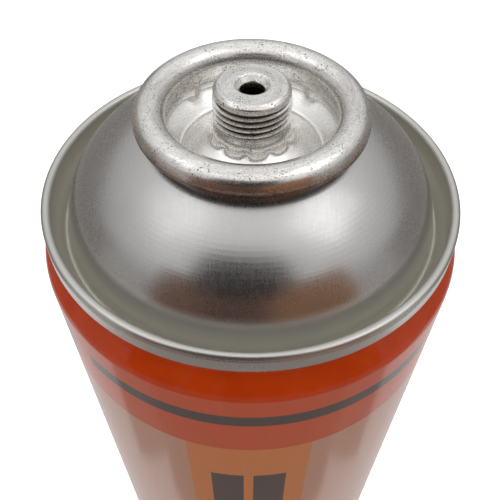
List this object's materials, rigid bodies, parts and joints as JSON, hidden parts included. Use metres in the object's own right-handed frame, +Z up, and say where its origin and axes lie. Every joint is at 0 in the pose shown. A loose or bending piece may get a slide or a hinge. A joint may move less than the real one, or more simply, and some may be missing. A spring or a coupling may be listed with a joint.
{
  "type": "gas canister",
  "caption": "Tall round tinplate gas canister with a necked printed body, domed top, rolled valve cup rim and a threaded pedestal with a small outlet.",
  "frame": {"origin": "centre of the base's resting ring", "axes": "+Z up along the canister's axis, towards the valve; -Y faces the camera of the picture"},
  "size_m": [0.066, 0.066, 0.265],
  "materials": {
    "printed_tinplate": "orange litho print under clear varnish on tinplate",
    "bare_tinplate": "satin tinplate",
    "worn_steel": "satin tinplate with wear and brown patina on the rim and thread",
    "black_rubber": "moulded sealing ring",
    "valve_brass": "turned"
  },
  "bodies": {
    "root": {"can_body": "printed_tinplate", "top_dome": "bare_tinplate", "base_end": "bare_tinplate", "valve_cup": "worn_steel", "cup_gasket": "black_rubber", "valve_insert": "valve_brass"}
  },
  "joints": []
}
